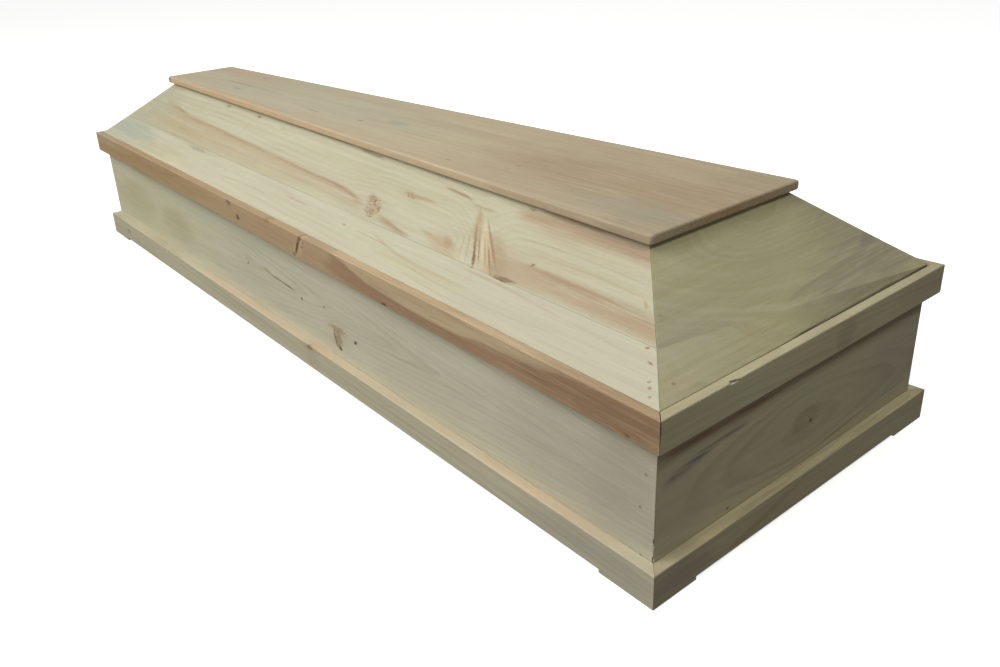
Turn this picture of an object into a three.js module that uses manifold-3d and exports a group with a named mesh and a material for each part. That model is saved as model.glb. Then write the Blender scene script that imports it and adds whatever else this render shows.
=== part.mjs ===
// A plain softwood coffin with a lift-off hipped lid, in millimetres, +Z up.
// The origin is on the floor under the middle of the box. The head end is at +X,
// and seen by a person lying in it the left side is at -Y.
import * as THREE from 'three';
import { mergeVertices } from 'three/addons/utils/BufferGeometryUtils.js';
import Module from 'manifold-3d';

const wasm = await Module();
wasm.setup();

// Driving dimensions of the box, over the outside of its walls
const boxLength = 1965;
const headWidth = 646;
const footWidth = 450;
const wallThickness = 18;
const wallTop = 262;
const bottomThickness = 18;

// Plinth boards round the foot of the box, cut up between their feet
const plinthHeight = 54;
const plinthThickness = 19;
const footHeight = 6;
const endFootLength = 87;
const sideFootLength = 99;

// Rim band of the lid, which hangs down over the top of the walls
const rimThickness = 16;
const rimDrop = 33.5;
const rimRise = 14;
const lidClearance = 1.5;

// Sloping boards of the lid, measured from the top of the rim band
const panelThickness = 18;
const panelRise = 125.5;
const sideRun = 160;
const endRun = 165;
const jointRise = 42;
const jointFlare = 1.5;

// Flat board on top of the lid
const topThickness = 15;
const topOverhang = 16;
const topEdgeRadius = 3.5;
const topCornerRadius = 5;

// Fits, small edges, and the damage that the timber shows
const glueGap = 0.3;
const mitreGap = 0.4;
const edgeRadius = 1.8;
const innerEdge = 0.8;
const openMitreTop = 1.5;
const openMitreBottom = 0.7;
const panelShrinkage = 2.4;
const rimChip = { length: 22, depth: 5, height: 3.5, fromCorner: 153 };
const cornerKnocks = [
  { height: 9, width: 5, abovePlinth: 5 },
  { height: 5, width: 4, abovePlinth: 25 },
];

const HEAD = 1;
const FOOT = -1;
const LEFT = -1;
const RIGHT = 1;

// Levels and outlines worked out from the dimensions above. Outlines are given as
// the distance outside the box walls.
const taper = (headWidth - footWidth) / (2 * boxLength);
const slant = Math.hypot(1, taper);
const rimIn = lidClearance;
const rimOut = rimIn + rimThickness;
const rimBottom = wallTop - rimDrop;
const rimTop = wallTop + rimRise;
const plinthIn = glueGap;
const plinthOut = plinthIn + plinthThickness;
const footOut = rimIn - glueGap;
const topUnderside = rimTop + panelRise;

function halfWidth(x) {
  return (headWidth + footWidth) / 4 + taper * x;
}

// A corner of an outline that lies outEnd beyond the end wall and outSide beyond
// the side wall. The board that ends there stops short of it by pull.
function corner(end, side, point, along, pull) {
  const x = end * (boxLength / 2 + point.outEnd - (along === 'side' ? pull : 0));
  const y = side * (halfWidth(x) + point.outSide * slant - (along === 'end' ? pull : 0));
  return new THREE.Vector3(x, y, point.z);
}

function closedGeometry(points, triangles) {
  const geometry = new THREE.BufferGeometry().setFromPoints(points);
  let volume = 0;
  for (const [a, b, c] of triangles) {
    volume += points[a].dot(new THREE.Vector3().crossVectors(points[b], points[c]));
  }
  const faces = volume > 0 ? triangles : triangles.map(([a, b, c]) => [a, c, b]);
  geometry.setIndex(faces.flat());
  return geometry;
}

// A board with this clockwise section, run from one corner of the outline to the
// next and cut on the mitre at both. Its end faces are filled in the given groups
// of section points, so that boards which meet on a bent mitre share its folds.
function mitredBoard(section, run, pullAt, endGroups) {
  const count = section.length;
  const points = [];
  for (const [end, side] of [run.from, run.to]) {
    for (const point of section) {
      points.push(corner(end, side, point, run.along, pullAt(point.z, end, side)));
    }
  }
  const triangles = [];
  for (const group of endGroups) {
    const outline = group.map((i) => new THREE.Vector2(section[i].outSide, section[i].z));
    for (const face of THREE.ShapeUtils.triangulateShape(outline, [])) {
      const [a, b, c] = face.map((i) => group[i]);
      triangles.push([a, b, c], [count + a, count + c, count + b]);
    }
  }
  for (let i = 0; i < count; i++) {
    const j = (i + 1) % count;
    triangles.push([i, j, count + j], [i, count + j, count + i]);
  }
  return closedGeometry(points, triangles);
}

const runs = {
  head: { along: 'end', from: [HEAD, LEFT], to: [HEAD, RIGHT] },
  foot: { along: 'end', from: [FOOT, LEFT], to: [FOOT, RIGHT] },
  left: { along: 'side', from: [HEAD, LEFT], to: [FOOT, LEFT] },
  right: { along: 'side', from: [HEAD, RIGHT], to: [FOOT, RIGHT] },
};

function closeMitre() {
  return mitreGap / 2;
}

function board(place, section, pullAt = closeMitre, endGroups = [section.map((point, i) => i)]) {
  return mitredBoard(section, runs[place], pullAt, endGroups);
}

// A point that keeps the same distance from the end and the side walls
function even(out, z) {
  return { outEnd: out, outSide: out, z };
}

// Points on an arc of the section, by angles in quarter turns from the outward side
function arc(out, z, radius, from, to, steps) {
  const points = [];
  for (let i = 0; i <= steps; i++) {
    const angle = THREE.MathUtils.lerp(from, to, i / steps) * Math.PI / 2;
    points.push(even(out + radius * Math.cos(angle), z + radius * Math.sin(angle)));
  }
  return points;
}

// Section of an upright board with its outer edges rounded, up the inner face and
// down the outer one
function uprightSection(inner, outer, bottom, top, topRadius, bottomRadius) {
  return [
    even(inner, bottom),
    even(inner, top - innerEdge),
    even(inner + innerEdge, top),
    ...arc(outer - topRadius, top - topRadius, topRadius, 1, 0, 3),
    ...arc(outer - bottomRadius, bottom + bottomRadius, bottomRadius, 0, -1, 2),
  ];
}

function toSolid(geometry) {
  const bare = geometry.clone();
  bare.deleteAttribute('normal');
  bare.deleteAttribute('uv');
  const merged = mergeVertices(bare);
  return new wasm.Manifold(new wasm.Mesh({
    numProp: 3,
    vertProperties: new Float32Array(merged.attributes.position.array),
    triVerts: new Uint32Array(merged.index.array),
  }));
}

function toGeometry(solid) {
  const mesh = solid.getMesh();
  const geometry = new THREE.BufferGeometry();
  geometry.setAttribute('position', new THREE.BufferAttribute(new Float32Array(mesh.vertProperties), 3));
  geometry.setIndex(new THREE.BufferAttribute(new Uint32Array(mesh.triVerts), 1));
  return geometry;
}

function cut(geometry, cutters) {
  let solid = toSolid(geometry);
  for (const cutter of cutters) {
    solid = solid.subtract(toSolid(cutter));
  }
  return toGeometry(solid);
}

// Walls of the box, mitred at the corners, with small knocks out of the corner
// between the head wall and the left wall
function wallSection() {
  return [
    even(-wallThickness, footHeight),
    even(-wallThickness, wallTop),
    even(0, wallTop),
    even(0, footHeight),
  ];
}

function knockCutters() {
  return cornerKnocks.map((knock) => {
    const at = corner(HEAD, LEFT, even(0, plinthHeight + knock.abovePlinth), 'side', 0);
    const cutter = new THREE.SphereGeometry(0.5, 10, 6);
    cutter.scale(knock.width, knock.width, knock.height);
    cutter.translate(at.x, at.y, at.z);
    return cutter;
  });
}

function wall(place) {
  const knocked = place === 'head' || place === 'left';
  const plain = board(place, wallSection());
  return knocked ? cut(plain, knockCutters()) : plain;
}

// Bottom board, let in between the walls level with their lower edges
function bottomBoard() {
  const inset = -wallThickness - glueGap;
  const points = [];
  for (const z of [footHeight, footHeight + bottomThickness]) {
    for (const [end, side] of [[HEAD, LEFT], [HEAD, RIGHT], [FOOT, RIGHT], [FOOT, LEFT]]) {
      points.push(corner(end, side, even(inset, z), 'side', 0));
    }
  }
  return stackedRings(points, 4);
}

// A closed body through rings of equally many points, each ring above the last
function stackedRings(points, count) {
  const rings = points.length / count;
  const triangles = [];
  for (let r = 0; r + 1 < rings; r++) {
    for (let i = 0; i < count; i++) {
      const j = (i + 1) % count;
      const low = r * count;
      const high = low + count;
      triangles.push([low + i, low + j, high + j], [low + i, high + j, high + i]);
    }
  }
  const last = (rings - 1) * count;
  for (let i = 1; i + 1 < count; i++) {
    triangles.push([0, i + 1, i], [last, last + i, last + i + 1]);
  }
  return closedGeometry(points, triangles);
}

// Plinth board standing on a foot at each end
function plinthBoard(place) {
  const section = uprightSection(plinthIn, plinthOut, 0, plinthHeight, edgeRadius, innerEdge);
  const atEnd = runs[place].along === 'end';
  const reach = atEnd ? endFootLength : sideFootLength;
  const [end, side] = runs[place].from;
  const tip = corner(end, side, even(plinthOut, 0), 'side', 0);
  const opposite = corner(...runs[place].to, even(plinthOut, 0), 'side', 0);
  const depth = 4 * (plinthThickness + Math.abs(tip.y - opposite.y) * (atEnd ? 0 : 1));
  const span = (atEnd ? Math.abs(tip.y - opposite.y) : Math.abs(tip.x - opposite.x)) - 2 * reach;
  const gap = new THREE.BoxGeometry(atEnd ? depth : span, atEnd ? span : depth, 2 * footHeight);
  gap.translate((tip.x + opposite.x) / 2, (tip.y + opposite.y) / 2, 0);
  return cut(board(place, section), [gap]);
}

// Rim band of the lid. The mitre at the left head corner has opened, widest at the top.
function rimPull(z, end, side) {
  if (end !== HEAD || side !== LEFT) return mitreGap / 2;
  const up = (z - rimBottom) / (rimTop - rimBottom);
  return THREE.MathUtils.lerp(openMitreBottom, openMitreTop, up) / 2;
}

// A splinter missing from the top outer edge of the rim band's head board
function rimChipCutter() {
  const start = corner(HEAD, LEFT, even(rimOut, rimTop), 'side', 0);
  const y0 = start.y + rimChip.fromCorner;
  const past = 1;
  const wedge = new THREE.Shape([
    new THREE.Vector2(start.x + past, y0),
    new THREE.Vector2(start.x + past, y0 - rimChip.length),
    new THREE.Vector2(start.x - rimChip.depth * 0.45, y0 - rimChip.length),
    new THREE.Vector2(start.x - rimChip.depth, y0 - rimChip.length * 0.82),
    new THREE.Vector2(start.x - rimChip.depth * 0.5, y0 - rimChip.length * 0.4),
  ]);
  const cutter = new THREE.ExtrudeGeometry(wedge, { depth: rimChip.height + past, bevelEnabled: false });
  cutter.translate(0, 0, rimTop - rimChip.height);
  return cutter;
}

function rimBoard(place) {
  const section = uprightSection(rimIn, rimOut, rimBottom, rimTop, edgeRadius, innerEdge);
  const plain = board(place, section, rimPull);
  return place === 'head' ? cut(plain, [rimChipCutter()]) : plain;
}

// Lines of the lid's slopes. The long sides are two boards each, joined on edge
// with a slight hollow at the joint, and the ends are one flat board each, cut to
// the same hip lines.
const slope = Math.atan2(panelRise, sideRun);
const sideLevelThickness = panelThickness / Math.sin(slope);
const endLevelThickness = panelThickness / Math.sin(Math.atan2(panelRise, endRun));

function outerLine(rise) {
  const inEnd = (rise / panelRise) * endRun;
  const atJoint = (jointRise / panelRise) * sideRun + jointFlare;
  const inSide = rise <= jointRise
    ? (rise / jointRise) * atJoint
    : THREE.MathUtils.mapLinear(rise, jointRise, panelRise, atJoint, sideRun);
  return { outEnd: footOut - inEnd, outSide: footOut - inSide, z: rimTop + rise };
}

function innerLine(rise) {
  const outer = outerLine(rise);
  return {
    outEnd: outer.outEnd - endLevelThickness,
    outSide: outer.outSide - sideLevelThickness,
    z: outer.z,
  };
}

const jointInnerRise = jointRise - panelThickness * Math.cos(slope);
const hip = {
  footLow: even(footOut, wallTop),
  footHigh: even(footOut, rimTop),
  joint: outerLine(jointRise),
  top: outerLine(panelRise),
  topInner: innerLine(panelRise),
  jointInner: innerLine(jointInnerRise),
  footInner: innerLine(-rimRise),
};

function lidLowerBoard(place) {
  const section = [hip.footInner, hip.jointInner, hip.joint, hip.footHigh, hip.footLow];
  return board(place, section);
}

function lidUpperBoard(place) {
  const seamRise = glueGap * Math.sin(slope);
  const section = [
    innerLine(jointInnerRise + seamRise), hip.topInner, hip.top, outerLine(jointRise + seamRise),
  ];
  return board(place, section);
}

// An end panel. The head panel has shrunk back from the rim band towards the
// right side, which leaves a groove that widens that way.
function lidEndPanel(place) {
  const section = [
    hip.footInner, hip.jointInner, hip.topInner, hip.top, hip.joint, hip.footHigh, hip.footLow,
  ];
  const asSideBoards = [[0, 1, 4, 5, 6], [1, 2, 3, 4]];
  const panel = board(place, section, closeMitre, asSideBoards);
  if (place === 'foot') return panel;
  const position = panel.attributes.position;
  const face = HEAD * (boxLength / 2 + footOut);
  for (let i = 0; i < position.count; i++) {
    const onFootFace = Math.abs(position.getX(i) - face) < glueGap;
    if (onFootFace && position.getY(i) > 0) {
      position.setX(i, face - panelShrinkage);
      position.setY(i, position.getY(i) - panelShrinkage);
    }
  }
  return panel;
}

// Flat top board with rounded edges and corners
function topBoard() {
  const outEnd = hip.top.outEnd + topOverhang;
  const outSide = hip.top.outSide + topOverhang;
  const low = topUnderside + topEdgeRadius;
  const high = topUnderside + topThickness - topEdgeRadius;
  const levels = [
    ...arc(-topEdgeRadius, low, topEdgeRadius, -1, 0, 4),
    ...arc(-topEdgeRadius, high, topEdgeRadius, 0, 1, 4),
  ];
  const rings = levels.map(({ outEnd: back, z }) => {
    const outline = roundedOutline(outEnd + back, outSide + back, topCornerRadius);
    return outline.map(([x, y]) => new THREE.Vector3(x, y, z));
  });
  return stackedRings(rings.flat(), rings[0].length);
}

function roundedOutline(outEnd, outSide, radius) {
  const steps = 4;
  const outline = [];
  const turns = [[HEAD, LEFT], [HEAD, RIGHT], [FOOT, RIGHT], [FOOT, LEFT]];
  for (let c = 0; c < 4; c++) {
    const [end, side] = turns[c];
    const inner = { outEnd: outEnd - radius, outSide: outSide - radius, z: 0 };
    const centre = corner(end, side, inner, 'side', 0);
    for (let i = 0; i <= steps; i++) {
      const angle = (i / steps + c - 1) * Math.PI / 2;
      outline.push([centre.x + radius * Math.cos(angle), centre.y + radius * Math.sin(angle)]);
    }
  }
  return outline;
}

const wood = {
  wall: { color: 0x9a947c, roughness: 0.72 },
  plinth: { color: 0x8f8a72, roughness: 0.74 },
  rimSide: { color: 0x97795b, roughness: 0.7 },
  rimEnd: { color: 0x6b6652, roughness: 0.72 },
  lidLower: { color: 0xc4bfa2, roughness: 0.68 },
  lidUpper: { color: 0xbdae90, roughness: 0.68 },
  lidEnd: { color: 0x989074, roughness: 0.7 },
  top: { color: 0xa7977e, roughness: 0.68 },
};

const coffin = new THREE.Group();

function add(name, geometry, finish) {
  const material = new THREE.MeshStandardMaterial({ ...finish, metalness: 0 });
  const mesh = new THREE.Mesh(geometry, material);
  mesh.name = name;
  coffin.add(mesh);
}

for (const place of ['head', 'foot', 'left', 'right']) {
  const atEnd = runs[place].along === 'end';
  add(`wall_${place}`, wall(place), wood.wall);
  add(`plinth_${place}`, plinthBoard(place), wood.plinth);
  add(`rim_${place}`, rimBoard(place), atEnd ? wood.rimEnd : wood.rimSide);
  if (atEnd) {
    add(`lid_${place}_panel`, lidEndPanel(place), wood.lidEnd);
  } else {
    add(`lid_${place}_lower_board`, lidLowerBoard(place), wood.lidLower);
    add(`lid_${place}_upper_board`, lidUpperBoard(place), wood.lidUpper);
  }
}
add('bottom_board', bottomBoard(), wood.wall);
add('lid_top_board', topBoard(), wood.top);

export default coffin;
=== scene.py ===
import math

import bpy
from mathutils import Matrix, Vector

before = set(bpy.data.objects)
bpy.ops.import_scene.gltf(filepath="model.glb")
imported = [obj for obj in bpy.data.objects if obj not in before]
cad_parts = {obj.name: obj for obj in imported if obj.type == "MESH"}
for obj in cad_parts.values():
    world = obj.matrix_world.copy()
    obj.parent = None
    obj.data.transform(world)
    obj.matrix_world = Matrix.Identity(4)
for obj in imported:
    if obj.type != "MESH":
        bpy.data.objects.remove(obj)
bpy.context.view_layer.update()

MM = 1000.0
WHITE = (1, 1, 1, 1)

# Camera, fitted to the corners of the coffin in the photo
CAMERA_AZIMUTH = math.radians(49.453)
CAMERA_ELEVATION = math.radians(25.364)
CAMERA_ROLL = math.radians(-2.157)
CAMERA_PLACE = (1.6036, -1.0952, 0.8454)
CAMERA_LENS = 34.617
SENSOR_WIDTH = 36.0
CAMERA_REACH = 100.0

# Lamps are (name, place, aim, width, watts, colour, whether it gives highlights)
LAMPS = (
    ("key", (-0.60, -2.85, 2.75), (0, 0, 0.2), 3.0, 130.0, (1.0, 0.99, 0.97), True),
    ("fill", (2.25, -0.60, 2.60), (0.9, 0, 0.3), 0.6, 18.0, (1.0, 0.98, 0.94), True),
    ("back", (-2.2, 3.3, 0.75), (-0.2, 0, 0.2), 1.4, 80.0, (1.0, 0.95, 0.88), False),
)

# World and floor
HORIZON_LIGHT = (0.27, 0.258, 0.235, 1)
ZENITH_LIGHT = (0.98, 0.99, 1.0, 1)
SKY_STRENGTH = 0.40
FLOOR_REACH = 30.0
FLOOR_COLOUR = (0.90, 0.90, 0.89, 1)
FLOOR_ROUGHNESS = 0.9
FLOOR_GLOW = 0.66


def srgb(red, green, blue):
    """A colour given in 0 to 255 display steps, as linear light."""
    def linear(step):
        x = step / 255
        return x / 12.92 if x <= 0.04045 else ((x + 0.055) / 1.055) ** 2.4
    return (linear(red), linear(green), linear(blue), 1.0)


def add_camera():
    a, e, r = CAMERA_AZIMUTH, CAMERA_ELEVATION, CAMERA_ROLL
    back = Vector((math.sin(a) * math.cos(e), -math.cos(a) * math.cos(e), math.sin(e)))
    right = (-back).cross(Vector((0, 0, 1))).normalized()
    up = right.cross(-back)
    turned_right = right * math.cos(r) + up * math.sin(r)
    turned_up = up * math.cos(r) - right * math.sin(r)
    camera = bpy.data.objects.new("camera", bpy.data.cameras.new("camera"))
    camera.data.sensor_width = SENSOR_WIDTH
    camera.data.lens = CAMERA_LENS
    camera.data.clip_end = CAMERA_REACH
    camera.matrix_world = Matrix.LocRotScale(
        Vector(CAMERA_PLACE),
        Matrix((turned_right, turned_up, back)).transposed(),
        None,
    )
    bpy.context.scene.collection.objects.link(camera)
    bpy.context.scene.camera = camera


def add_lamp(name, place, aim, width, watts, colour, highlights):
    """A square soft lamp that the camera doesn't see."""
    data = bpy.data.lights.new(name, "AREA")
    data.shape = "SQUARE"
    data.size = width
    data.energy = watts
    data.color = colour
    lamp = bpy.data.objects.new(name, data)
    lamp.location = place
    back = Vector(place) - Vector(aim)
    lamp.rotation_euler = back.to_track_quat("Z", "Y").to_euler()
    lamp.visible_camera = False
    lamp.visible_glossy = highlights
    bpy.context.scene.collection.objects.link(lamp)


def add_world():
    """Light that is strong from above and weak from the horizon. The camera sees white."""
    world = bpy.data.worlds.new("studio")
    bpy.context.scene.world = world
    world.use_nodes = True
    world.node_tree.nodes.clear()
    g = Graph(world.node_tree)
    direction = g.add("TexCoord", {}, output="Generated")
    height = g.add("SeparateXYZ", {0: direction}, output="Z")
    sky = g.mix(height, HORIZON_LIGHT, ZENITH_LIGHT)
    lighting = g.add("Background", {0: sky, 1: SKY_STRENGTH})
    backdrop = g.add("Background", {0: WHITE, 1: 1.0})
    seen = g.add("LightPath", {}, output="Is Camera Ray")
    g.node("OutputWorld", {0: g.add("MixShader", {0: seen, 1: lighting, 2: backdrop})})


def add_floor():
    """A white floor that lights nothing and isn't mirrored in the boards."""
    half = FLOOR_REACH
    mesh = bpy.data.meshes.new("studio_floor")
    mesh.from_pydata(
        [(-half, -half, 0), (half, -half, 0), (half, half, 0), (-half, half, 0)],
        [], [(0, 1, 2, 3)],
    )
    floor = bpy.data.objects.new("studio_floor", mesh)
    bpy.context.scene.collection.objects.link(floor)
    material = bpy.data.materials.new("studio_floor")
    material.use_nodes = True
    shader = material.node_tree.nodes["Principled BSDF"]
    shader.inputs["Base Color"].default_value = FLOOR_COLOUR
    shader.inputs["Roughness"].default_value = FLOOR_ROUGHNESS
    shader.inputs["Emission Color"].default_value = WHITE
    shader.inputs["Emission Strength"].default_value = FLOOR_GLOW
    mesh.materials.append(material)
    floor.visible_diffuse = False
    floor.visible_glossy = False


# Shader nodes in short calls

class Graph:
    """Adds nodes to one node tree. Most calls return an output socket."""

    def __init__(self, tree):
        self.tree = tree

    def node(self, kind, inputs, **settings):
        node = self.tree.nodes.new("ShaderNode" + kind)
        for name, value in settings.items():
            setattr(node, name, value)
        for key, value in inputs.items():
            if isinstance(value, bpy.types.NodeSocket):
                self.tree.links.new(value, node.inputs[key])
            else:
                node.inputs[key].default_value = value
        return node

    def add(self, kind, inputs, output=0, **settings):
        return self.node(kind, inputs, **settings).outputs[output]

    def math(self, operation, a, b=0.0, c=0.0):
        return self.add("Math", {0: a, 1: b, 2: c}, operation=operation)

    def times(self, *values):
        result = values[0]
        for value in values[1:]:
            result = self.math("MULTIPLY", result, value)
        return result

    def total(self, values):
        result = values[0]
        for value in values[1:]:
            result = self.math("ADD", result, value)
        return result

    def ramp(self, value, low, high, start=0.0, end=1.0):
        """Smooth step from start to end while value goes from low to high."""
        return self.add(
            "MapRange", {0: value, 1: low, 2: high, 3: start, 4: end},
            interpolation_type="SMOOTHSTEP",
        )

    def moved(self, vector, shift):
        return self.add("VectorMath", {0: vector, 1: shift}, operation="ADD")

    def noise(self, vector, size, detail, roughness):
        """Noise between 0 and 1 whose largest forms have the given size."""
        scaled = self.add("VectorMath", {0: vector, 1: tuple(1 / s for s in size)},
                          operation="MULTIPLY")
        return self.add("TexNoise", {"Vector": scaled, "Scale": 1.0, "Detail": detail,
                                     "Roughness": roughness})

    def mix(self, factor, a, b, blend="MIX"):
        return self.add(
            "Mix", {0: factor, 6: a, 7: b}, output=2, data_type="RGBA", blend_type=blend,
        )

    def curve(self, value, points, low, high, bottom, top):
        """A smooth curve through points (x, y), as a value."""
        x = self.add("MapRange", {0: value, 1: low, 2: high, 3: 0.0, 4: 1.0})
        node = self.tree.nodes.new("ShaderNodeFloatCurve")
        line = node.mapping.curves[0]
        places = [((px - low) / (high - low), (py - bottom) / (top - bottom))
                  for px, py in points]
        while len(line.points) < len(places):
            line.points.new(0.5, 0.5)
        for point, place in zip(line.points, places):
            point.location = place
        node.mapping.update()
        self.tree.links.new(x, node.inputs[1])
        return self.math("MULTIPLY_ADD", node.outputs[0], top - bottom, bottom)

    def group(self, tree, inputs):
        """All the outputs of an added node group."""
        return self.node("Group", inputs, node_tree=tree).outputs


def new_group(name, inputs, outputs, fill):
    """A node group. Sockets whose names start with a capital C are colours."""
    tree = bpy.data.node_groups.new(name, "ShaderNodeTree")
    for side, names in (("INPUT", inputs), ("OUTPUT", outputs)):
        for item in names:
            kind = "NodeSocketColor" if item[0] == "C" else "NodeSocketFloat"
            tree.interface.new_socket(item, in_out=side, socket_type=kind)
    source = tree.nodes.new("NodeGroupInput")
    target = tree.nodes.new("NodeGroupOutput")
    for item, value in zip(outputs, fill(Graph(tree), *source.outputs[:len(inputs)])):
        tree.links.new(value, target.inputs[item])
    return tree


# Board coordinates, read from the outer face of the CAD node

# Least cosines to the outward hint and to straight up
FACES_OUTWARD = 0.6
FACES_UP = 0.99
SAME_PLANE_DECIMALS = 2


def board_axes(node, outward):
    """Rotation into board coordinates and the point of the face that is its origin."""
    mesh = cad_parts[node].data
    hint = Vector(outward).normalized()
    planes = {}
    for face in mesh.polygons:
        if face.normal.dot(hint) > FACES_OUTWARD:
            key = tuple(round(c, SAME_PLANE_DECIMALS) for c in face.normal)
            area, normal, points = planes.get(key, (0.0, face.normal.copy(), []))
            points = points + [mesh.vertices[i].co for i in face.vertices]
            planes[key] = (area + face.area, normal, points)
    area, n, points = max(planes.values(), key=lambda plane: plane[0])
    if n.z > FACES_UP:
        u = Vector((1, 0, 0))
        v = n.cross(u)
        lower_edge = 0.0
    else:
        u = Vector((0, 0, 1)).cross(n).normalized()
        v = n.cross(u)
        lower_edge = min(v.dot(p) for p in points)
    return Matrix((u, v, n)), Vector((0.0, lower_edge, n.dot(points[0])))


def board_coordinates(graph, node, outward):
    turn, origin = board_axes(node, outward)
    return graph.add("Mapping", {
        "Vector": graph.add("TexCoord", {}, output="Object"),
        "Location": -origin * MM, "Rotation": turn.to_euler("XYZ"), "Scale": (MM, MM, MM),
    })


# Marks in the timber, as node groups. Smooth steps are (low, high, start, end), and go
# from 0 to 1 where start and end are left out.

CREAM = srgb(194, 192, 167)
BUFF = srgb(185, 178, 148)
PINK = srgb(184, 164, 140)
TAN = srgb(168, 143, 113)
BROWN = srgb(138, 107, 79)
DARK = srgb(78, 58, 43)
GREY = srgb(142, 144, 130)
BLUE = srgb(112, 116, 112)
GREEN = srgb(182, 186, 158)
OLIVE = srgb(176, 170, 130)
PEACH = srgb(204, 176, 141)
YELLOW = srgb(208, 198, 158)

OVAL = ("u", "v", "middle_u", "middle_v", "half_u", "half_v", "angle")

SPOT_RAGGEDNESS = 2.2
SPOT_EDGE = -0.1

STREAK_END = 40.0
STREAK_END_SHARE = 0.3

HALO_LENGTH = 2.4
HALO_HEIGHT = 1.4
HALO_TURN = 0.5
HALO_AMOUNT = 0.7
KNOT_RAGGEDNESS = 3.0
KNOT_DEPTH = 1.6
KNOT_INSIDE = (0.7, 1.15, 1.0, 0.0)
BARK_START = (0.5, 0.9)
BARK_END = (0.9, 1.15, 1.0, 0.0)
BARK_AMOUNT = 0.9
BARK_LOST = 0.8
TIGHT_HEART = (0.0, 0.9)
TAN_CRUMBS = (0.36, 0.46)
DARK_CRUMBS = (0.30, 0.36, 0.8, 0.0)
CREAM_CRUMBS = (0.52, 0.60, 0.0, 0.9)


def oval(*values):
    return dict(zip(OVAL, values))


def fill_oval(g, u, v, middle_u, middle_v, half_u, half_v, angle):
    """Squared distance from the middle, in half widths, and a hump over the oval."""
    du = g.math("SUBTRACT", u, middle_u)
    dv = g.math("SUBTRACT", v, middle_v)
    sin, cos = g.math("SINE", angle), g.math("COSINE", angle)
    along = g.math("DIVIDE", g.math("ADD", g.times(du, cos), g.times(dv, sin)), half_u)
    across = g.math("DIVIDE", g.math("SUBTRACT", g.times(dv, cos), g.times(du, sin)), half_v)
    squared = g.math("MULTIPLY_ADD", along, along, g.times(across, across))
    return squared, g.math("EXPONENT", g.times(squared, -1.0))


oval_group = new_group("oval", OVAL, ("squared", "hump"), fill_oval)


def fill_spot(g, colour, tint, u, v, mu, mv, hu, hv, angle, ragged, blur, combed, amount):
    """A stain, a small mark or a dab of painted shade, with a ragged edge."""
    squared = g.group(oval_group, oval(u, v, mu, mv, hu, hv, angle))[0]
    squared = g.math("MULTIPLY_ADD", ragged, SPOT_RAGGEDNESS, squared)
    mask = g.times(g.ramp(squared, SPOT_EDGE, blur, 1.0, 0.0), amount, combed)
    return (g.mix(mask, colour, tint),)


spot_group = new_group(
    "spot", ("Colour", "Colour tint") + OVAL + ("ragged", "blur", "combed", "amount"),
    ("Colour",), fill_spot,
)


def fill_streak(g, colour, tint, u, off, above, below, low, high, combed, amount):
    """A coloured band along the grain, or a band of painted shadow or painted light. off is
    the height above its middle line.
    """
    up = g.ramp(off, 0.0, above, 1.0, 0.0)
    down = g.ramp(off, g.times(below, -1.0), 0.0)
    length = g.math("SUBTRACT", high, low)
    fade = g.math("MINIMUM", g.times(length, STREAK_END_SHARE), STREAK_END)
    start = g.ramp(u, low, g.math("ADD", low, fade))
    end = g.ramp(u, g.math("SUBTRACT", high, fade), high, 1.0, 0.0)
    return (g.mix(g.times(up, down, start, end, combed, amount), colour, tint),)


streak_group = new_group(
    "streak",
    ("Colour", "Colour tint", "u", "off", "above", "below", "low", "high", "combed", "amount"),
    ("Colour",), fill_streak,
)


def fill_knot(g, colour, u, v, mu, mv, hu, hv, angle, ragged, crumb, combed, crumbly, amount):
    """A warm halo drawn out along the grain, a rim of bark and ragged wood inside."""
    wide = oval(u, v, mu, mv, g.times(hu, HALO_LENGTH), g.times(hv, HALO_HEIGHT),
                g.times(angle, HALO_TURN))
    halo = g.group(oval_group, wide)[1]
    colour = g.mix(g.times(halo, combed, amount, HALO_AMOUNT), colour, TAN)
    squared = g.group(oval_group, oval(u, v, mu, mv, hu, hv, angle))[0]
    squared = g.math("MULTIPLY_ADD", ragged, KNOT_RAGGEDNESS, squared)
    distance = g.math("SQRT", g.math("MAXIMUM", squared, 0.0))
    inside = g.ramp(distance, *KNOT_INSIDE)
    bark = g.times(g.ramp(distance, *BARK_START), g.ramp(distance, *BARK_END))
    bark = g.times(bark, g.math("MULTIPLY_ADD", crumbly, -BARK_LOST, BARK_AMOUNT))
    ragged_heart = g.mix(g.ramp(crumb, *TAN_CRUMBS), BROWN, TAN)
    ragged_heart = g.mix(g.ramp(crumb, *DARK_CRUMBS), ragged_heart, DARK)
    ragged_heart = g.mix(g.ramp(crumb, *CREAM_CRUMBS), ragged_heart, CREAM)
    tight_heart = g.mix(g.ramp(distance, *TIGHT_HEART), DARK, BROWN)
    heart = g.mix(bark, g.mix(crumbly, tight_heart, ragged_heart), DARK)
    colour = g.mix(g.times(inside, amount), colour, heart)
    return colour, g.times(inside, crumb, -KNOT_DEPTH)


knot_group = new_group(
    "knot", ("Colour",) + OVAL + ("ragged", "crumb", "combed", "crumbly", "amount"),
    ("Colour", "height"), fill_knot,
)


# Timber. A noise is ((size along, up and out of the board), detail, roughness).

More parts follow.
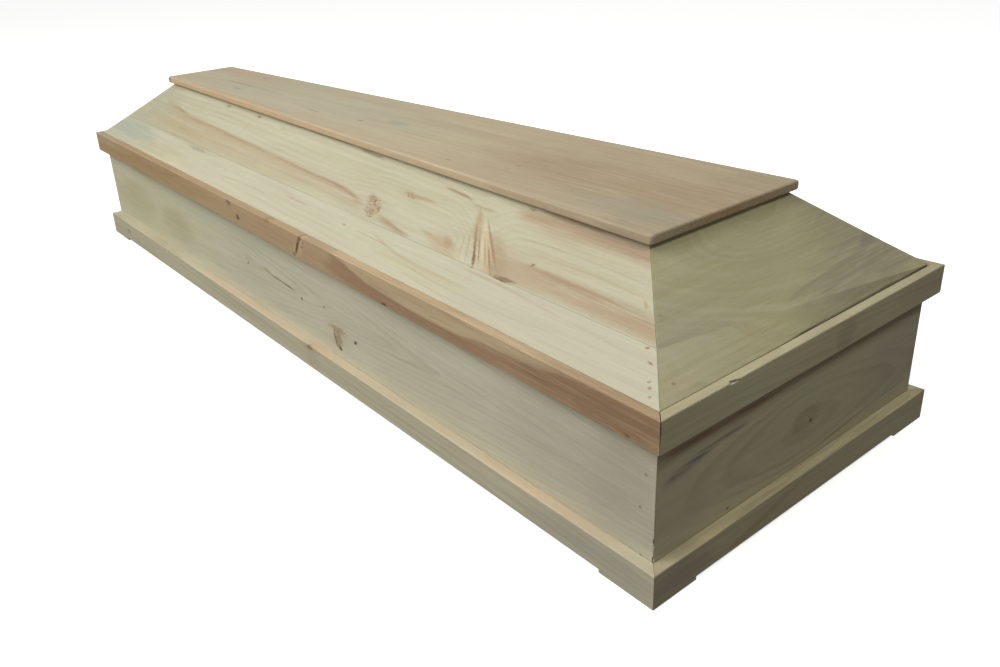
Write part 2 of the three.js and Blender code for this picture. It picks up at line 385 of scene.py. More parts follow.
NOISES = {
    "wide": ((820, 90, 90), 1.0, 0.5),
    "small": ((210, 24, 24), 2.0, 0.5),
    "fibre": ((90, 2.6, 2.6), 5.0, 0.62),
    "clear": ((260, 60, 60), 1.0, 0.5),
    "cloud": ((420, 40, 40), 4.0, 0.62),
    "green": ((300, 36, 36), 4.0, 0.6),
    "pink": ((380, 16, 16), 4.0, 0.6),
    "comb": ((120, 4.0, 4.0), 4.0, 0.6),
    "ragged": ((11, 4, 4), 4.0, 0.7),
    "drift": ((55, 14, 14), 3.0, 0.6),
    "crumb": ((6.5, 4.0, 5.0), 3.0, 0.65),
    "fine": ((16, 0.7, 0.7), 2.0, 0.5),
    "dust": ((3.2, 2.2, 2.2), 3.0, 0.7),
    "figure": ((240, 8, 8), 3.0, 0.55),
    "pores": ((26, 1.3, 1.3), 1.0, 0.5),
}
NOISE_MIDDLE = 0.5
SEED_STEPS = (517, 173, 91)
COMB = (0.34, 0.58, 0.3, 1.0)

# Growth rings, and the grain that flows round a knot
FLOW_LENGTH, FLOW_PAST_END = 2.2, 8
FLOW_HEIGHT, FLOW_PAST_SIDE = 2.0, 4
FLOW_PUSH = 0.85
WIDE_WANDER = 2.2
SMALL_WANDER = 0.25
RING_FRAY = 0.5
RING_RISE = (0.1, 0.86)
RING_FALL = (0.84, 1.02, 1.0, 0.0)
RING_CLEAR = (0.35, 0.65, 0.35, 1.0)
RING_LEAST, RING_CHANCE = 0.15, 0.85

# Broad colour
BAND_WIDTH = 24.0
BAND_DETAIL = 3.0
BAND_ROUGHNESS = 0.6
BAND_SHARE = 0.5
CLOUD_SHARE = 0.5
BROAD_TONE = (0.36, 0.64)
GREENISH = (0.45, 0.68)
PINKISH = (0.48, 0.70)
PINK_SHIFT = (913, 377, 151)

# Marks
STREAK_WANDER = 5.0
CURVE_MARGIN = 1.0
BROAD_SPOT = 12
BROAD_BLUR = 2.6
SMALL_BLUR = 1.3

# The planed surface
PORES = (0.68, 0.80)
PORE_STAIN = 0.22
SHADE = 0.63
SHADE_WEIGHTS = {"fibre": 0.24, "fine": 0.10, "dust": 0.18, "figure": 0.22}
RELIEF_WEIGHTS = {"fibre": 0.6, "fine": 0.22, "late": 0.25, "pores": -0.4, "dust": 0.15}
ROUGHNESS = 0.54
ROUGHNESS_WEIGHTS = {"fibre": 0.18, "late": -0.08}
BUMP_STRENGTH = 0.5
BUMP_DEPTH = 0.0007
SPECULAR = 0.25

# Worn arrises
WELD_DISTANCE = 0.00005
ARRIS_SEGMENTS = 2
ARRIS_ANGLE = math.radians(25)

# What a board may change. pale and deep are the colours of its clear wood, line and lines
# the colour and amount of its late wood, period the width of a ring. pith is how far along,
# up and behind the face the rings have their middle. oval is how much the distance along
# the board counts in them, taper how much they slope and wander how far they stray. bands,
# green and pink are amounts of colour, seed sets the noises apart and arris is a width.
PLAIN = {
    "pale": CREAM, "deep": BUFF, "line": BROWN, "lines": 0.26, "period": 11.0,
    "pith": (0.0, 60.0, 45.0), "oval": 0.0, "taper": 0.02, "wander": 16.0, "bands": 0.55,
    "green": 0.25, "pink": 0.2, "seed": 0.0, "arris": 0.9,
    "knots": (), "bends": (), "streaks": (), "spots": (),
}


class Timber:
    """The planed timber of one board, built up as shader nodes."""

    def __init__(self, node, outward, look):
        self.look = look
        self.material = bpy.data.materials.new("timber_" + node)
        self.material.use_nodes = True
        self.g = Graph(self.material.node_tree)
        place = board_coordinates(self.g, node, outward)
        self.grain = self.g.moved(place, tuple(look["seed"] * step for step in SEED_STEPS))
        self.u, self.v, self.w = self.g.node("SeparateXYZ", {0: place}).outputs
        self.fibre = self.noise("fibre")
        self.small = self.swing("small")
        self.ragged = self.swing("ragged")
        self.combed = self.g.ramp(self.noise("comb"), *COMB)

    def noise(self, name, place=None):
        size, detail, roughness = NOISES[name]
        place = self.grain if place is None else place
        return self.g.noise(place, size, detail, roughness)

    def swing(self, name):
        """A noise about zero."""
        return self.g.math("SUBTRACT", self.noise(name), NOISE_MIDDLE)

    def oval(self, mu, mv, hu, hv, angle=0.0):
        return oval(self.u, self.v, mu, mv, hu, hv, math.radians(angle))

    def weighted(self, parts, weights):
        return [self.g.times(parts[name], weight) for name, weight in weights.items()]

    def ring_distance(self):
        """Distance from the pith. Grain flows round each knot and dips at each bend."""
        g, look = self.g, self.look
        pushed = [self.v]
        for ku, kv, hu, hv, *_ in look["knots"]:
            length = hu * FLOW_LENGTH + FLOW_PAST_END
            height = hv * FLOW_HEIGHT + FLOW_PAST_SIDE
            near = g.group(oval_group, self.oval(ku, kv, length, height))[1]
            pushed.append(g.times(g.math("SUBTRACT", self.v, kv), near, -FLOW_PUSH))
        pith_u, pith_v, pith_w = look["pith"]
        du = g.times(g.math("SUBTRACT", self.u, pith_u), look["oval"])
        dv = g.math("SUBTRACT", g.total(pushed), pith_v)
        dw = g.math("ADD", self.w, pith_w)
        terms = [
            g.math("SQRT", g.total([g.times(du, du), g.times(dv, dv), g.times(dw, dw)])),
            g.times(self.u, look["taper"]),
            g.times(self.swing("wide"), look["wander"] * WIDE_WANDER),
            g.times(self.small, look["wander"] * SMALL_WANDER),
        ]
        for *place, depth in look["bends"]:
            terms.append(g.times(g.group(oval_group, self.oval(*place))[1], depth))
        return g.total(terms)

    def late_wood(self, ring):
        """Growth rings: a slow darkening and a quick return, of uneven strength."""
        g = self.g
        turns = g.math("DIVIDE", ring, self.look["period"])
        part = g.math("FRACT", turns)
        swing = g.math("SUBTRACT", self.fibre, NOISE_MIDDLE)
        frayed = g.math("MULTIPLY_ADD", swing, RING_FRAY, part)
        rise = g.ramp(frayed, *RING_RISE)
        fall = g.ramp(frayed, *RING_FALL)
        clear = g.ramp(self.noise("clear"), *RING_CLEAR)
        chance = g.add("TexWhiteNoise", {"W": g.math("FLOOR", turns)}, noise_dimensions="1D")
        strength = g.math("MULTIPLY_ADD", chance, RING_CHANCE, RING_LEAST)
        return g.times(rise, fall, clear, strength)

    def clear_wood(self, ring, late):
        """Broad bands of colour that follow the rings, and slow changes over the board."""
        g, look = self.g, self.look
        bands = g.add(
            "TexNoise", {"W": g.math("DIVIDE", ring, BAND_WIDTH), "Scale": 1.0,
                         "Detail": BAND_DETAIL, "Roughness": BAND_ROUGHNESS},
            noise_dimensions="1D",
        )
        tone = g.math("MULTIPLY_ADD", self.noise("cloud"), CLOUD_SHARE,
                      g.times(bands, BAND_SHARE))
        deep = g.times(g.ramp(tone, *BROAD_TONE), look["bands"])
        colour = g.mix(deep, look["pale"], look["deep"])
        greenish = g.ramp(self.noise("green"), *GREENISH)
        colour = g.mix(g.times(greenish, look["green"]), colour, GREEN)
        pinkish = g.ramp(self.noise("pink", g.moved(self.grain, PINK_SHIFT)), *PINKISH)
        colour = g.mix(g.times(pinkish, look["pink"]), colour, PINK)
        return g.mix(g.times(late, look["lines"]), colour, look["line"])

    def add_streaks(self, colour):
        g = self.g
        for points, above, below, tint, amount in self.look["streaks"]:
            us = [p[0] for p in points]
            vs = [p[1] for p in points]
            middle = g.curve(self.u, points, min(us), max(us),
                             min(vs) - CURVE_MARGIN, max(vs) + CURVE_MARGIN)
            off = g.math("MULTIPLY_ADD", self.small, STREAK_WANDER,
                         g.math("SUBTRACT", self.v, middle))
            colour = g.group(streak_group, {
                "Colour": colour, "Colour tint": tint, "u": self.u, "off": off,
                "above": above, "below": below, "low": min(us), "high": max(us),
                "combed": self.combed, "amount": amount,
            })[0]
        return colour

    def add_spots(self, colour):
        """Broad stains are softer than small marks, and combed along the grain."""
        drift = self.swing("drift")
        for *place, tint, amount in self.look["spots"]:
            broad = min(place[2:4]) > BROAD_SPOT
            colour = self.g.group(spot_group, dict(self.oval(*place), **{
                "Colour": colour, "Colour tint": tint, "amount": amount,
                "ragged": drift if broad else self.ragged,
                "blur": BROAD_BLUR if broad else SMALL_BLUR,
                "combed": self.combed if broad else 1.0,
            }))[0]
        return colour

    def add_knots(self, colour):
        """The colour with the knots in it, and the height of each knot."""
        crumb = self.noise("crumb")
        heights = []
        for *place, crumbly, amount in self.look["knots"]:
            colour, height = self.g.group(knot_group, dict(self.oval(*place), **{
                "Colour": colour, "ragged": self.ragged, "crumb": crumb,
                "combed": self.combed, "crumbly": crumbly, "amount": amount,
            }))
            heights.append(height)
        return colour, heights

    def finish(self):
        """Joins all of it into the shader, with the fibres and pores of planed wood."""
        g = self.g
        ring = self.ring_distance()
        parts = {name: self.noise(name) for name in ("fine", "dust", "figure")}
        parts["fibre"] = self.fibre
        parts["late"] = self.late_wood(ring)
        parts["pores"] = g.ramp(self.noise("pores"), *PORES)
        colour = self.add_streaks(self.clear_wood(ring, parts["late"]))
        colour, knot_heights = self.add_knots(self.add_spots(colour))
        shade = g.total(self.weighted(parts, SHADE_WEIGHTS) + [SHADE])
        colour = g.mix(1.0, colour, shade, "MULTIPLY")
        colour = g.mix(g.times(parts["pores"], PORE_STAIN), colour, BROWN)
        relief = g.total(self.weighted(parts, RELIEF_WEIGHTS) + knot_heights)
        bump = g.add("Bump", {"Height": relief, "Strength": BUMP_STRENGTH,
                              "Distance": BUMP_DEPTH})
        roughness = g.total(self.weighted(parts, ROUGHNESS_WEIGHTS) + [ROUGHNESS])
        shader = g.tree.nodes["Principled BSDF"]
        g.tree.links.new(colour, shader.inputs["Base Color"])
        g.tree.links.new(roughness, shader.inputs["Roughness"])
        g.tree.links.new(bump, shader.inputs["Normal"])
        shader.inputs["Specular IOR Level"].default_value = SPECULAR


def timber(node, outward, **details):
    """Gives a board its own timber and slightly worn arrises."""
    look = dict(PLAIN, **details)
    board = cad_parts[node]
    wood = Timber(node, outward, look)
    wood.finish()
    for slot in board.material_slots:
        slot.material = wood.material
    board.modifiers.new("weld", "WELD").merge_threshold = WELD_DISTANCE
    arris = board.modifiers.new("arris", "BEVEL")
    arris.width = look["arris"] / MM
    arris.segments = ARRIS_SEGMENTS
    arris.limit_method = "ANGLE"
    arris.angle_limit = ARRIS_ANGLE


# The boards

LEFT, RIGHT, HEAD, FOOT = (0, -1, 0), (0, 1, 0), (1, 0, 0), (-1, 0, 0)
LEFT_SLOPE, RIGHT_SLOPE = (0, -0.6, 0.8), (0, 0.6, 0.8)
HEAD_SLOPE, FOOT_SLOPE = (0.6, 0, 0.8), (-0.6, 0, 0.8)
UP = (0, 0, 1)
TIGHT, CRUMBLY = 0.0, 1.0

# Knots are (u, v, half length, half height, angle, kind, amount). Bends are (u, v, half
# length, half height, angle, depth). Streaks are (points, fade above, fade below,
# colour, amount). Spots are (u, v, half length, half height, angle, colour, amount).
# Angles are in degrees.

UPPER_HEARTWOOD_EDGE = (
    (-787, 78), (-670, 68), (-589, 59), (-496, 57), (-372, 53), (-186, 48), (0, 43),
    (124, 40), (190, 32), (235, 24),
)
RIM_HEARTWOOD_EDGE = (
    (230, 46), (269, 44), (333, 31), (413, 21), (573, 18), (680, 28), (787, 32),
    (893, 44), (1040, 47),
)
POINTED_BEND = 0.4
POINTED_BEND_RISE = 0.75
POINTED_WIDTH = 2.2
POINTED_COLOUR = srgb(170, 163, 141)
POINTED_AMOUNT = 0.45


def pointed_grain(end, middle, reach, rise):
    """Two thin streaks that meet in a point at their end."""
    return tuple(
        (((end - reach, middle + side * rise),
          (end - POINTED_BEND * reach, middle + side * rise * POINTED_BEND_RISE),
          (end, middle)), POINTED_WIDTH, POINTED_WIDTH, POINTED_COLOUR, POINTED_AMOUNT)
        for side in (-1, 1)
    )


timber(
    "lid_top_board", UP, seed=1.0, pale=srgb(197, 184, 156), deep=srgb(185, 168, 139),
    pith=(0, 40, 70), taper=0.01, lines=0.16, pink=0.3, green=0.12,
    streaks=(
        (((-850, -92), (0, -134), (640, -167)), 6, 60, srgb(214, 178, 134), 1.0),
        (((480, -158), (640, -164), (900, -178)), 6, 60, srgb(178, 152, 126), 0.9),
        (((-800, -94), (-560, -104), (-200, -118)), 9, 10, srgb(206, 162, 120), 0.5),
        (((198, 61), (480, 48), (825, 31)), 3, 3, CREAM, 0.5),
        (((-680, -13), (-530, -12), (-370, -14)), 8, 8, srgb(126, 126, 102), 0.8),
        (((-640, -16), (-575, -12), (-500, -13)), 5, 5, srgb(112, 112, 92), 0.7),
        (((-110, -10), (60, -16), (220, -12)), 4, 4, TAN, 0.3),
    ),
    spots=(
        (720, 0, 300, 220, 0, srgb(176, 160, 132), 0.85),
        (820, 0, 80, 230, 0, srgb(164, 149, 123), 0.85),
        (640, -25, 220, 60, 0, srgb(170, 148, 119), 0.75),
        (-585, 45, 115, 34, 0, srgb(190, 160, 134), 0.6),
        (-602, 58, 12, 3, -25, srgb(124, 82, 66), 0.9),
        (-300, -10, 420, 80, 0, srgb(190, 188, 164), 0.7),
        (760, -110, 120, 40, 0, srgb(160, 156, 134), 0.6),
        (52, -12, 24, 13, 0, GREY, 0.4), (-26, -46, 10, 5, 0, GREY, 0.8),
        (-183, -60, 26, 4, 0, GREY, 0.6), (-543, -48, 22, 5, 0, GREY, 0.6),
        (339, -113, 8, 4, 0, GREY, 0.7), (456, -60, 7, 3, 0, BROWN, 0.5),
        (455, -82, 5, 4, 0, TAN, 0.6), (767, -150, 14, 4, 0, GREY, 0.4),
        (383, -165, 10, 6, 0, TAN, 0.8), (-826, -96, 12, 9, 0, DARK, 0.85),
        (839, 0, 5, 260, 0, srgb(146, 110, 60), 1.0),
    ),
)
timber(
    "lid_left_upper_board", LEFT_SLOPE, seed=2.0, arris=0.2, pith=(0, -90, 40), taper=0.012,
    pink=0.3, lines=0.2, bends=((548, 38, 115, 46, -52, 42.0),),
    knots=((252, 28, 25, 18, -20, CRUMBLY, 0.55), (322, 72, 15, 5, -8, CRUMBLY, 0.75),
           (671, 39, 3.6, 2.8, 30, TIGHT, 0.5),
           (-477, 118, 8, 4, 0, TIGHT, 0.4), (-319, 118, 9, 3.4, 0, TIGHT, 0.5)),
    streaks=(
        (UPPER_HEARTWOOD_EDGE, 8, 34, srgb(178, 156, 128), 0.9),
        (UPPER_HEARTWOOD_EDGE, 3, 8, srgb(154, 130, 102), 0.7),
        (((-120, 22), (40, 22), (210, 14)), 3, 9, TAN, 0.4),
        (((-840, 36), (-680, 30), (-520, 22)), 14, 16, srgb(174, 158, 122), 0.85),
        (((-640, 26), (-560, 24), (-450, 20)), 12, 14, srgb(170, 146, 116), 0.75),
        (((-470, 24), (-340, 22), (-160, 14)), 12, 14, srgb(178, 162, 128), 0.75),
        (((262, 20), (310, 14), (347, 9), (400, 3)), 5, 14, srgb(164, 140, 110), 0.85),
        (((390, 27), (440, 20), (485, 12), (512, 3)), 5, 9, TAN, 0.75),
        (((375, 109), (430, 106), (478, 102)), 3, 5, srgb(152, 120, 90), 0.85),
        (((462, 99), (500, 97), (540, 98)), 3, 5, TAN, 0.7),
        (((290, 76), (330, 74), (372, 76), (410, 70)), 6, 7, srgb(172, 144, 112), 0.8),
        (((580, 14), (640, 27), (760, 31), (1010, 25)), 15, 30, srgb(168, 144, 115), 1.0),
        (((600, 8), (700, 15), (1010, 10)), 14, 18, srgb(178, 156, 128), 0.9),
        (((640, 30), (760, 35), (1000, 30)), 5, 6, srgb(164, 139, 112), 0.5),
        (((560, 114), (690, 108), (780, 111), (960, 100)), 18, 22, srgb(174, 151, 124), 1.0),
        (((600, 124), (760, 122), (900, 112)), 16, 18, srgb(168, 145, 119), 1.0),
        (((92, 124), (140, 123), (192, 121)), 3, 6, BROWN, 0.8),
        (((600, 64), (700, 76), (880, 74)), 2, 3, TAN, 0.45),
        (((590, 84), (680, 92), (850, 90)), 2, 3, TAN, 0.35),
        (((640, 50), (740, 58), (900, 54)), 2, 4, TAN, 0.35),
    ),
    spots=(
        (-560, 26, 230, 30, 0, srgb(180, 166, 132), 0.75),
        (-860, 60, 130, 60, 0, srgb(172, 169, 145), 0.85),
        (800, 112, 100, 12, 0, srgb(166, 143, 117), 0.6),
        (700, 30, 130, 12, 2, srgb(168, 144, 116), 0.5),
        (860, 14, 110, 12, 0, srgb(170, 148, 121), 0.45),
        (-250, 22, 280, 24, 0, srgb(184, 171, 140), 0.7),
        (236, 41, 17, 9, -15, srgb(168, 138, 112), 0.75),
        (263, 20, 14, 12, -20, srgb(172, 146, 102), 0.75),
        (247, 39, 7, 3.4, 30, srgb(112, 76, 58), 0.9), (234, 45, 7, 2, 0, BROWN, 0.85),
        (253, 32, 6, 3.4, -40, srgb(104, 76, 54), 0.9), (243, 30, 5, 2.4, 0, BROWN, 0.8),
        (259, 27, 5, 3.4, 0, CREAM, 0.9), (267, 17, 5, 3, -30, CREAM, 0.9),
        (271, 27, 2, 7, 20, srgb(110, 84, 54), 0.85), (256, 16, 6, 2, -20, BROWN, 0.85),
        (262, 9, 8, 2, 0, BROWN, 0.7), (315, 73, 3, 2, 0, DARK, 0.8),
        (330, 70, 3, 2, 0, srgb(116, 84, 58), 0.8),
        (632, 20, 60, 24, -8, srgb(182, 165, 138), 0.75),
        (600, 24, 46, 15, -42, srgb(168, 147, 116), 0.8),
        (566, 34, 56, 12, -46, srgb(199, 182, 145), 0.75),
        (548, 48, 50, 6, -50, srgb(203, 193, 162), 0.75),
        (536, 38, 50, 3, -51, srgb(126, 94, 66), 0.95), (556, 14, 18, 4, -51, BROWN, 0.95),
        (550, 34, 40, 1.8, -49, srgb(150, 118, 86), 0.85),
        (572, 44, 62, 3, -39, srgb(160, 128, 96), 0.85), (586, 22, 34, 2.4, -43, BROWN, 0.7),
        (506, 82, 22, 3, -48, TAN, 0.5), (568, 30, 40, 1.6, -46, srgb(158, 128, 94), 0.7),
        (526, 30, 38, 2.4, -57, TAN, 0.5), (514, 26, 30, 2.4, -62, TAN, 0.35),
        (501, 20, 24, 2.4, -70, TAN, 0.3), (474, 14, 40, 13, -12, srgb(182, 162, 130), 0.8),
        (482, 22, 20, 9, -20, srgb(164, 138, 108), 0.6),
        (522, 60, 44, 11, -50, srgb(172, 152, 118), 0.7),
        (642, 3, 28, 3.6, 3, srgb(126, 96, 70), 0.75), (598, 121, 10, 3, 0, BROWN, 0.6),
        (886, 47, 9, 3, -38, srgb(178, 150, 108), 0.7), (-580, 96, 6, 22, 0, OLIVE, 0.4),
        (-338, 92, 6, 20, 0, OLIVE, 0.35), (-195, 110, 12, 4, 0, OLIVE, 0.6),
    ),
)
timber(
    "lid_left_lower_board", LEFT_SLOPE, seed=3.0, arris=0.2, pale=srgb(196, 193, 169),
    deep=srgb(188, 182, 155), period=13.0, pith=(0, 130, 50), taper=-0.012, lines=0.17,
    bands=0.4,
    streaks=(
        (((540, 61), (610, 61), (690, 59), (790, 54)), 3, 5, TAN, 0.8),
        (((770, 55), (850, 52), (925, 48)), 2, 3, TAN, 0.6),
        (((-20, 50), (40, 50), (90, 48)), 3, 4, TAN, 0.7),
        (((240, 46), (310, 44), (380, 44)), 2, 3, TAN, 0.6),
        (((290, 58), (340, 46), (420, 36), (540, 34), (600, 38)), 4, 5, TAN, 0.5),
        (((470, 36), (510, 35), (550, 36)), 3, 3, srgb(186, 152, 110), 0.6),
        (((330, 30), (450, 26), (600, 30)), 12, 12, srgb(186, 180, 142), 0.7),
        (((420, 30), (600, 22), (800, 36)), 2, 3, TAN, 0.5),
        (((420, 16), (640, 8), (900, 26)), 2, 3, TAN, 0.35),
        (((-300, 30), (-150, 36), (-60, 34)), 2, 4, TAN, 0.4),
    ),
    spots=(
        (820, 30, 260, 70, 0, srgb(186, 183, 160), 0.75),
        (-860, 34, 150, 40, 0, srgb(174, 175, 155), 0.8),
        (-830, 40, 120, 17, 0, srgb(160, 168, 156), 0.75), (-620, 24, 120, 16, 0, OLIVE, 0.5),
        (-455, 62, 48, 6, 0, GREY, 0.55), (-520, 14, 60, 12, 0, YELLOW, 0.4),
        (217, 46, 8, 3, 0, TAN, 0.7), (565, 69, 5, 2, 0, BROWN, 0.8),
        (634, 69, 24, 2.5, 0, srgb(110, 74, 58), 0.8),
        (928, 65, 4, 2, 20, BROWN, 0.8), (946, 49, 6, 1.8, -10, BROWN, 0.8),
        (961, 27, 4, 2, 40, BROWN, 0.7), (967, 20, 3, 2.4, 0, BROWN, 0.7),
        (975, 10, 3, 2, 30, BROWN, 0.7),
    ),
)
timber(
    "rim_left", LEFT, seed=4.0, pale=srgb(185, 160, 126), deep=srgb(172, 146, 114),
    period=9.0, pith=(0, -30, 25), taper=0.03, green=0.1, pink=0.3, lines=0.25,
    knots=((-162, 40, 11, 6, 0, TIGHT, 0.5), (-125, 18, 9, 6, 0, TIGHT, 0.7)),
    streaks=(
        (RIM_HEARTWOOD_EDGE, 4, 60, srgb(152, 122, 95), 0.75),
        (RIM_HEARTWOOD_EDGE, 60, 3, srgb(200, 178, 144), 0.9),
        (((200, 24), (420, 16), (573, 12), (760, 20), (1040, 34)), 6, 30,
         srgb(150, 118, 90), 0.5),
        (((-60, 30), (60, 26), (230, 20)), 20, 16, srgb(180, 146, 120), 0.5),
        (((-1000, 30), (-600, 20), (-260, 30)), 18, 20, srgb(170, 146, 102), 0.6),
        (((-720, 40), (-600, 30), (-420, 44)), 4, 8, srgb(150, 122, 86), 0.6),
        (((-960, 12), (-840, 20), (-640, 40)), 3, 5, srgb(150, 124, 90), 0.5),
        (((765, 19), (790, 18), (822, 18)), 1.6, 1.8, srgb(120, 86, 62), 0.8),
    ),
    spots=(
        (120, 12, 20, 9, 60, srgb(194, 176, 140), 0.95),
        (142, 31, 24, 11.5, 60, srgb(194, 176, 140), 0.95),
        (129, 24, 31, 5, 58, srgb(92, 74, 50), 0.95), (139, 40, 9, 5, 40, BROWN, 0.85),
        (147, 27, 6, 3.5, 30, BROWN, 0.8), (152, 36, 5, 3, 50, BROWN, 0.7),
        (112, 6, 7, 4, 60, BROWN, 0.85),
        # Painted shade: the first dark sliver here is the mitre gap at the corner, in shade
        (1016, 34, 1.4, 14, 0, DARK, 0.9), (-650, 24, 380, 26, 0, srgb(164, 138, 97), 0.6),
        (-930, 40, 90, 14, 0, CREAM, 0.35),
        (143, 42, 8, 5, 20, BROWN, 0.8), (417, 1.5, 9, 4, 0, DARK, 0.8),
        (963, 4, 6, 3, 0, srgb(100, 60, 48), 0.95), (952, 5, 14, 2, -10, BROWN, 0.9),
        (10, 44, 14, 4, 0, BROWN, 0.5), (930, 24, 120, 40, 0, srgb(142, 114, 86), 0.75),
    ),
)
timber(
    "wall_left", LEFT, seed=5.0, pale=srgb(207, 203, 180), deep=srgb(198, 192, 168),
    period=9.0, pith=(0, 137, 18), taper=0.085, lines=0.2, green=0.3, pink=0.1,
    streaks=(
        (((-60, 136), (0, 135), (66, 132)), 3.4, 4.0, srgb(92, 70, 50), 1.0),
        (((-110, 138), (-60, 140), (-20, 136)), 3, 5, OLIVE, 0.7),
    ) + pointed_grain(484, 135, 110, 15) + pointed_grain(836, 137, 240, 20)
    + pointed_grain(896, 140, 260, 28) + pointed_grain(730, 136, 200, 11),
    knots=((214, 84, 15, 19, 14, CRUMBLY, 0.35),),
    spots=(
        (214, 104, 38, 7, 0, srgb(174, 152, 118), 0.8),
        (-62, 142, 20, 6, -10, OLIVE, 0.8), (-150, 142, 14, 5, -20, OLIVE, 0.6),
        (215, 85, 11, 19, 10, srgb(156, 132, 102), 0.6),
        (203, 83, 5, 18, 12, srgb(110, 82, 56), 0.9),
        (216, 68, 10, 5, -24, srgb(110, 82, 58), 0.9), (217, 66, 6, 4, -20, DARK, 0.9),
        (220, 92, 6, 8, 0, srgb(182, 156, 124), 0.75),
        (82, 124, 5, 4, 0, DARK, 0.75), (170, 135, 4, 3, 0, srgb(110, 84, 64), 0.8),
        (-150, 132, 6, 3, 30, BROWN, 0.8), (277, 99, 7, 3.6, 25, DARK, 0.95),
        (-720, 120, 320, 80, 0, srgb(204, 199, 160), 0.7),
        (-800, 125, 95, 36, 0, OLIVE, 0.5), (-540, 122, 80, 34, 0, OLIVE, 0.6),
        (-400, 190, 420, 22, 0, GREEN, 0.5), (880, 110, 150, 110, 0, srgb(180, 175, 156), 0.5),
        (950, 100, 60, 110, 0, srgb(176, 171, 152), 0.5),
        (996.5, 81, 1.8, 4.5, 0, DARK, 0.95), (996.5, 51, 1.8, 5, 0, DARK, 0.95),
        (996.8, 130, 0.9, 90, 0, BROWN, 0.5),
        (975, 47, 3, 2.5, 0, DARK, 0.8), (980, 172, 3, 2.5, 0, BROWN, 0.6),
        (972, 120, 3, 2.5, 0, BROWN, 0.7),
    ),
)
timber(
    "plinth_left", LEFT, seed=6.0, pale=srgb(198, 192, 166), deep=srgb(186, 179, 152),
    pith=(0, -30, 30), green=0.4,
    knots=((128, 47, 13, 4.5, 8, CRUMBLY, 0.85),),
    streaks=((((-380, 52), (-60, 52), (240, 51)), 8, 5, PEACH, 0.35),
             (((126, 52), (160, 52), (215, 51)), 8, 7, srgb(204, 172, 128), 0.7),
             (((-400, 53), (560, 53), (980, 52)), 8, 4, srgb(207, 189, 162), 0.7),
             (((640, 53), (860, 53), (960, 52)), 8, 4, PEACH, 0.4)),
    spots=((127, 48, 12, 4.6, 4, srgb(88, 64, 42), 0.95),
           (128, 48, 9, 5, 0, srgb(44, 30, 20), 1.0),
           (136, 26, 22, 16, 0, PINK, 0.6), (-870, 31, 16, 7, 0, BROWN, 0.5),
           (900, 22, 120, 26, 0, srgb(164, 160, 146), 0.6)),
)
timber(
    "lid_head_panel", HEAD_SLOPE, seed=7.0, pale=srgb(185, 182, 145),
    deep=srgb(174, 168, 127), period=14.0, pith=(70, 150, 16), oval=0.6, taper=0.0,
    wander=34.0, lines=0.26, bands=0.95, pink=0.08, green=0.2, line=srgb(142, 132, 88),
    streaks=(
        (((-290, 4), (-220, -2), (-120, -12)), 8, 9, srgb(152, 150, 128), 0.6),
        (((-20, -20), (120, -6), (340, 10)), 3, 6, srgb(138, 134, 116), 0.6),
        (((40, -36), (160, -24), (340, -16)), 4, 7, srgb(134, 132, 116), 0.6),
        (((60, -52), (180, -44), (340, -44)), 4, 7, GREY, 0.5),
        (((80, -12), (200, -2), (340, 16)), 3, 6, srgb(138, 134, 116), 0.5),
        (((150, 18), (240, 26), (340, 44)), 4, 7, srgb(142, 138, 120), 0.6),
        # Painted shadow: dark lines along the panel's foot, where the gap over the rim lies in
        # shade
        (((-345, -69), (-150, -69), (20, -68.5)), 1.6, 3, BROWN, 0.7),
        (((-60, -68.5), (140, -68), (345, -68)), 3.2, 3, srgb(66, 54, 38), 0.95),
    ),
    spots=(
        (200, -18, 150, 44, 6, srgb(154, 144, 124), 0.85), (248, 14, 40, 10, 8, BLUE, 0.6),
        (-290, -52, 45, 13, 0, PEACH, 0.5),
        (-279, -48, 4, 3, 0, DARK, 0.9), (-226, 37, 3, 2, 0, BROWN, 0.7),
        (250, 60, 100, 80, 0, srgb(150, 144, 121), 0.75),
        (-230, -8, 110, 70, 0, srgb(168, 166, 142), 0.6),
        (40, 50, 150, 60, 0, srgb(162, 157, 124), 0.5), (-150, -50, 120, 20, 0, YELLOW, 0.3),
    ),
)
timber(
    "rim_head", HEAD, seed=8.0, pale=srgb(186, 179, 145), deep=srgb(172, 163, 131),
    pith=(0, -20, 30), taper=0.05,
    spots=((60, 20, 20, 20, 0, srgb(142, 130, 116), 0.5),
           # Painted shade: a dark sliver in the mitre gap at the corner
           (-341.4, 32, 2.2, 14, 0, DARK, 0.95),
           # Painted shade: dark brown inside the chip in the rim
           (-199, 44.4, 12, 1.3, 0, srgb(92, 76, 52), 0.85),
           (-290, 24, 90, 30, 0, srgb(158, 149, 117), 0.6),
           (-200, 22, 120, 18, 0, GREEN, 0.3),
           (290, 24, 70, 26, 0, srgb(160, 151, 130), 0.6)),
)
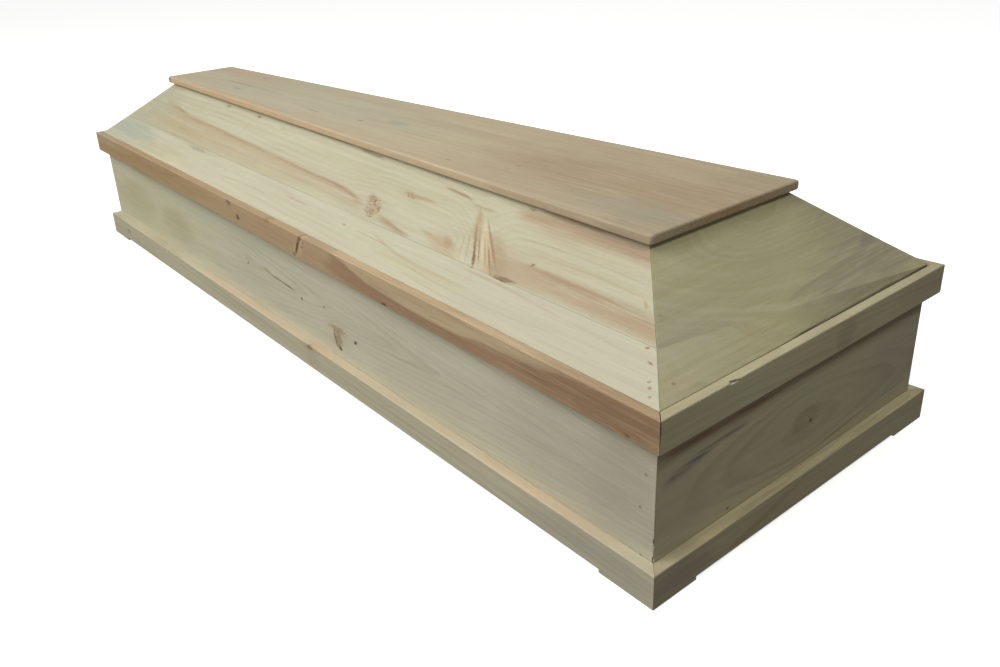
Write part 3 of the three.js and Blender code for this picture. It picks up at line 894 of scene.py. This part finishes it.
timber(
    "wall_head", HEAD, seed=9.0, pale=srgb(187, 179, 149), deep=srgb(174, 164, 134),
    period=15.0, pith=(22, 114, 8), oval=0.20, taper=0.0, lines=0.32, pink=0.1,
    line=srgb(124, 112, 84),
    knots=((8, 118, 36, 20, 0, TIGHT, 0.16),),
    streaks=(
        (((-322, 155), (-265, 165), (-210, 173)), 13, 13, srgb(112, 109, 99), 0.85),
        (((-280, 164), (-190, 176), (-120, 181)), 8, 9, srgb(110, 108, 98), 0.85),
        (((43, 58), (150, 66), (320, 75)), 3, 4, srgb(140, 126, 100), 0.7),
        # Painted shadow: a reddish-brown band under the rim, where the rim's overhang casts
        # its shade
        (((-324, 200), (-180, 198), (-30, 206)), 12, 12, srgb(146, 104, 80), 0.8),
        (((-80, 206), (120, 204), (324, 202)), 12, 12, srgb(148, 118, 90), 0.7),
    ),
    spots=(
        (22, 114, 5, 3.4, -20, DARK, 0.95), (-169, 55, 4, 3, 0, DARK, 0.8),
        (260, 120, 80, 90, 0, srgb(168, 160, 141), 0.6),
        (-290, 110, 60, 60, 0, srgb(166, 156, 138), 0.4),
    ),
)
timber(
    "plinth_head", HEAD, seed=10.0, pale=srgb(176, 168, 138), deep=srgb(162, 152, 123),
    pith=(0, -20, 30), taper=0.06,
    streaks=((((-330, 52), (-270, 52), (-200, 51)), 8, 3, PEACH, 0.5),
             # Painted light: a pale cream band on the top face of the plinth, lit from above
             (((-345, 53), (0, 53), (345, 53)), 10, 2, srgb(203, 194, 152), 0.9)),
    spots=((-300, 25, 60, 26, 0, srgb(146, 138, 120), 0.8),
           (-120, 22, 120, 7, 12, srgb(150, 136, 106), 0.5)),
)

# Boards that the photo hides, or nearly so, in plainer timber
timber("lid_right_upper_board", RIGHT_SLOPE, seed=11.0, arris=0.2, taper=0.015,
       pith=(0, -90, 40), pink=0.35,
       knots=((-420, 60, 14, 9, 0, TIGHT, 0.7), (330, 92, 10, 6, 0, TIGHT, 0.6)))
timber("lid_right_lower_board", RIGHT_SLOPE, seed=12.0, arris=0.2, taper=0.012,
       pith=(0, 120, 40))
timber("rim_right", RIGHT, seed=13.0, pale=srgb(185, 168, 136), deep=srgb(172, 151, 118))
timber("wall_right", RIGHT, seed=14.0, pith=(0, 130, 24), taper=0.05,
       knots=((-260, 90, 13, 11, 0, TIGHT, 0.7), (520, 170, 7, 6, 0, TIGHT, 0.7)))
timber("plinth_right", RIGHT, seed=15.0, pith=(0, -30, 30))
timber("lid_foot_panel", FOOT_SLOPE, seed=16.0, pith=(-60, 170, 20), oval=0.4, taper=0.0)
timber("rim_foot", FOOT, seed=17.0, pith=(0, -30, 30))
timber("wall_foot", FOOT, seed=18.0, pith=(0, 90, 40))
timber("plinth_foot", FOOT, seed=19.0, pith=(0, -30, 30))
timber("bottom_board", UP, seed=20.0, pith=(0, 40, 50))

add_camera()
for lamp in LAMPS:
    add_lamp(*lamp)
add_world()
add_floor()
bpy.context.scene.view_settings.view_transform = "Standard"
